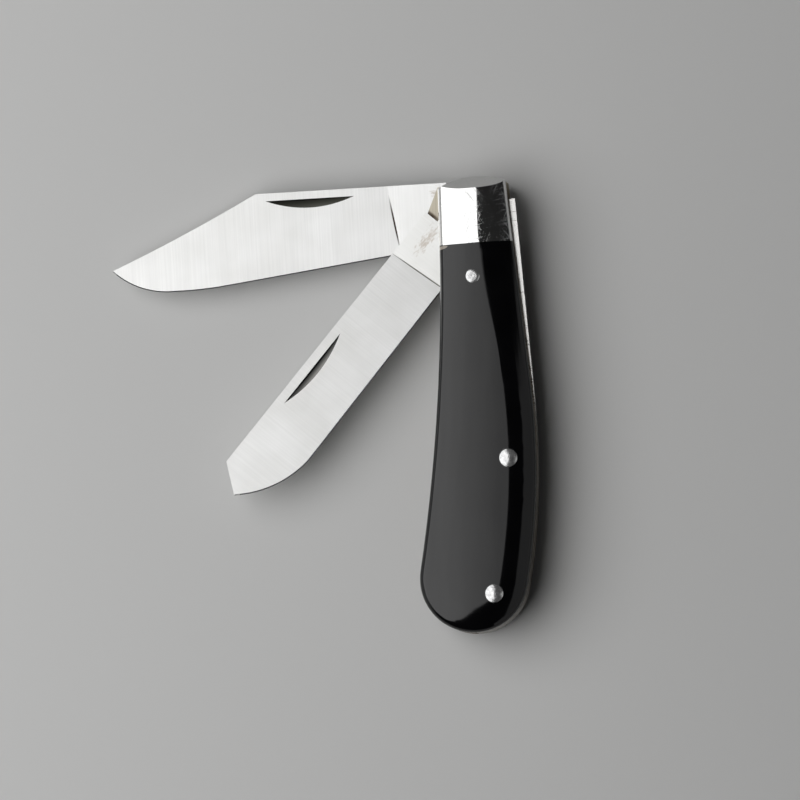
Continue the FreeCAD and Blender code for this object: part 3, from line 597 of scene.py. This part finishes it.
# The chip is a slanting lens with a crisp border
CHIP = Vector((-5.0, -6.0, 11.2)) * MM
CHIP_SIZE = Vector((1.3, 0.35, 1.5)) * MM
CHIP_TURN = math.radians(14)
CHIP_BORDER = (1.05, 0.8)
CHIP_COLOUR = "#A1988C"
centred = add(tree, "Mapping", {"Vector": place, "Location": -CHIP}).outputs["Vector"]
turned = add(tree, "Mapping", {"Vector": centred, "Rotation": (0, 0, -CHIP_TURN)}).outputs["Vector"]
sized = add(tree, "Mapping", {"Vector": turned, "Scale": [1 / size for size in CHIP_SIZE]})
ring = add(tree, "VectorMath", {0: sized.outputs["Vector"]}, operation="LENGTH").outputs["Value"]
chip = add(tree, "MapRange", {"Value": ring, "From Min": CHIP_BORDER[0], "From Max": CHIP_BORDER[1]})
chipped = add(
    tree,
    "MixRGB",
    {"Fac": chip.outputs["Result"], "Color1": tint.outputs["Color"], "Color2": linear(CHIP_COLOUR)},
)
tree.links.new(chipped.outputs["Color"], resin_shader.inputs["Base Color"])

# The crown was ground wider along the back near the bolsters. It is widest just below the seam, and fades
# out towards the butt and towards the bolsters' end.
CROWN_PEAK = -9 * MM
CROWN_FADE = (20 * MM, 26 * MM)
CROWN_SHIFT = 1.35 * MM
CROWN_CUT = 1.5 * MM
# Drop of the crown's broad inner part
CROWN_DROP = 0.87 * MM
# The back's border of the flat land, beside the pivot, and its slope
LAND_BACK = 2.72 * MM
BACK_SLOPE = math.tan(math.radians(7.2))
# Axes of the pivot's and the rivet's holes, and how far round them nothing moves
HOLES = (Vector((0, 0)), Vector((1.0, -11.6)) * MM)
HOLE_REACH = 1.6 * MM
LAND_FLAT = math.radians(0.1)


def widen_crown(piece, land, side):
    """Draw the border of a cover's flat land away from the back; the crown's foot and the holes stay."""
    bpy.ops.object.mode_set(mode="EDIT")
    for number in range(1, int(sum(CROWN_FADE) / CROWN_CUT)):
        bpy.ops.mesh.select_all(action="SELECT")
        level = CROWN_PEAK - CROWN_FADE[0] + number * CROWN_CUT
        bpy.ops.mesh.bisect(plane_co=(0, level, 0), plane_no=(0, 1, 0))
    bpy.ops.object.mode_set(mode="OBJECT")
    select_faces(piece, lambda face: abs(face.normal.z) > LEVEL)
    bpy.ops.mesh.dissolve_limited(angle_limit=LAND_FLAT)
    bpy.ops.object.mode_set(mode="OBJECT")
    for corner in piece.data.vertices:
        flat = corner.co.xy
        fade = abs(flat.y - CROWN_PEAK) / CROWN_FADE[int(flat.y > CROWN_PEAK)]
        if fade > 1 or any((flat - hole).length < HOLE_REACH for hole in HOLES):
            continue
        across = min(max(flat.x / (LAND_BACK - BACK_SLOPE * flat.y), 0), 1)
        inward = max(1 - math.sqrt(max(side * (land - corner.co.z), 0) / CROWN_DROP), 0)
        corner.co.x -= CROWN_SHIFT * math.cos(fade * math.pi / 2) ** 2 * across * inward


rear_land, front_land = 0, cad_high.z - DOME_HEIGHT
for name, land, side in (("rear_scale", rear_land, -1), ("front_scale", front_land, 1)):
    scale = merged_copy(name)
    widen_crown(scale, land, side)
    dress(scale, name, resin)

# Bolsters: nickel silver caps over the joint, soldered to the liners, ground in one sweep with the scales
# and polished to a mirror.
POLISH_MARK = 0.5 * MM
POLISH_COLOURS = ("#CBCBCA", "#D7D7D6")
POLISH_SPAN = (0.35, 0.75)
POLISH_ROUGH = (0.03, 0.06)
# Mirror polish: clear reflections, broken up by fine handling scratches that run all ways
SCRATCH = 0.25 * MM
SCRATCH_STRETCH = 0.05
SCRATCH_TURNS = (20, 75, 140)
SCRATCH_SPAN = (0.55, 0.7)
SCRATCH_ROUGH = 0.2
mirror, mirror_shader = new_material("mirror polished nickel silver", Metallic=1)
tree = mirror.node_tree
place = add(tree, "TexCoord").outputs["Object"]
marks = add(tree, "TexNoise", {"Vector": place, "Scale": 1 / POLISH_MARK, "Detail": 4}).outputs["Fac"]
tint = add(tree, "ValToRGB", {"Fac": marks}, list(zip(NOISE_SPAN, POLISH_COLOURS)))
haze = add(
    tree,
    "MapRange",
    {
        "Value": marks,
        "From Min": POLISH_SPAN[0],
        "From Max": POLISH_SPAN[1],
        "To Min": POLISH_ROUGH[0],
        "To Max": POLISH_ROUGH[1],
    },
)
scratched = 0
for turn in SCRATCH_TURNS:
    turned = (0, 0, math.radians(turn))
    run = add(tree, "Mapping", {"Vector": place, "Rotation": turned, "Scale": (1, 1, 0)})
    stretch = (1 / SCRATCH, SCRATCH_STRETCH / SCRATCH, 1)
    stretched = add(tree, "Mapping", {"Vector": run.outputs["Vector"], "Scale": stretch})
    noise = add(tree, "TexNoise", {"Vector": stretched.outputs["Vector"], "Scale": 1, "Detail": 2})
    fine = add(
        tree,
        "MapRange",
        {"Value": noise.outputs["Fac"], "From Min": SCRATCH_SPAN[0], "From Max": SCRATCH_SPAN[1]},
    ).outputs["Result"]
    scratched = add(tree, "Math", {0: fine, 1: scratched}, operation="MAXIMUM").outputs["Value"]
rough = add(
    tree, "Math", {0: scratched, 1: SCRATCH_ROUGH, 2: haze.outputs["Result"]}, operation="MULTIPLY_ADD"
)
tree.links.new(tint.outputs["Color"], mirror_shader.inputs["Base Color"])
tree.links.new(rough.outputs["Value"], mirror_shader.inputs["Roughness"])
for name, land, side in (("rear_bolster", rear_land, -1), ("front_bolster", front_land, 1)):
    bolster = merged_copy(name)
    widen_crown(bolster, land, side)
    dress(bolster, name, mirror)

# Studio: a plain pale floor of matt paper, one large round softbox up to the left, a pale wall on that
# side and a panel that stands to the right.
FLOOR_SIDE = 6.0
PAPER_ROUGH = 0.9
PAPER_COLOUR = "#D9D9D8"
bpy.ops.object.select_all(action="DESELECT")
bpy.ops.mesh.primitive_plane_add(size=FLOOR_SIDE, location=(0, 0, cad_low.z))
floor = bpy.context.active_object
floor.name = "floor"
# Matt paper: one soft pale tone, with no shine
paper = new_material("matt pale paper", Roughness=PAPER_ROUGH, **{"Base Color": linear(PAPER_COLOUR)})[0]
floor.data.materials.append(paper)

# A lamp's power is its radiance times pi times its area
LIGHT_HEIGHT = 0.6
LIGHT_WIDTH = 1.2
LIGHT_PLACE = (-0.637, -0.03)
LIGHT_RADIANCE = 2.0
softbox = bpy.data.lights.new("round softbox", "AREA")
softbox.shape = "DISK"
softbox.size = LIGHT_WIDTH
softbox.energy = LIGHT_RADIANCE * math.pi * math.pi * LIGHT_WIDTH**2 / 4
lamp = bpy.data.objects.new("round softbox", softbox)
lamp.location = (*LIGHT_PLACE, LIGHT_HEIGHT)
bpy.context.scene.collection.objects.link(lamp)

FILL_DISTANCE = 0.3
FILL_HEIGHT = 0.63
FILL_LENGTH = 0.95
FILL_END = 0.05
FILL_RADIANCE = 0.6
panel = bpy.data.lights.new("fill panel", "AREA")
panel.shape = "RECTANGLE"
panel.size = FILL_HEIGHT
panel.size_y = FILL_LENGTH
panel.energy = FILL_RADIANCE * math.pi * FILL_HEIGHT * FILL_LENGTH
fill = bpy.data.objects.new("fill panel", panel)
fill.location = (FILL_DISTANCE, FILL_END - FILL_LENGTH / 2, cad_low.z + FILL_HEIGHT / 2)
fill.rotation_euler = (0, math.radians(90), 0)
# It shows in polished faces alone, and leaves the shadows on the floor deep
fill.visible_diffuse = False
bpy.context.scene.collection.objects.link(fill)

# The wall is at the far left of all directions, and the rest of the room is dark
WALL_STOPS = [(0.04, "#C4C4C4"), (0.13, "#262626")]
world = bpy.data.worlds.new("dim studio")
world.use_nodes = True
bpy.context.scene.world = world
tree = world.node_tree
direction = add(tree, "TexCoord")
sideways = add(tree, "SeparateXYZ", {"Vector": direction.outputs["Generated"]}).outputs["X"]
half = add(tree, "MapRange", {"Value": sideways, "From Min": -1})
walls = add(tree, "ValToRGB", {"Fac": half.outputs["Result"]}, WALL_STOPS)
tree.links.new(walls.outputs["Color"], tree.nodes["Background"].inputs["Color"])
bpy.context.scene.view_settings.view_transform = "Standard"

# Camera: almost straight above, a little to the back and the butt of the knife.
TARGET = Vector((-13.9, -35.4, 6.0)) * MM
CAMERA_DISTANCE = 2.0
FIELD = 156.5 * MM
TILT_TO_BACK = math.radians(5.8)
TILT_TO_BUTT = math.radians(3.4)
camera = bpy.data.cameras.new("camera")
camera.lens = camera.sensor_width * CAMERA_DISTANCE / FIELD
eye = bpy.data.objects.new("camera", camera)
bpy.context.scene.collection.objects.link(eye)
away = Vector((math.tan(TILT_TO_BACK), -math.tan(TILT_TO_BUTT), 1)).normalized()
right = Vector((0, 1, 0)).cross(away).normalized()
upward = away.cross(right)
aimed = Matrix((right, upward, away)).transposed()
eye.matrix_world = Matrix.Translation(TARGET + away * CAMERA_DISTANCE) @ aimed.to_4x4()
bpy.context.scene.camera = eye
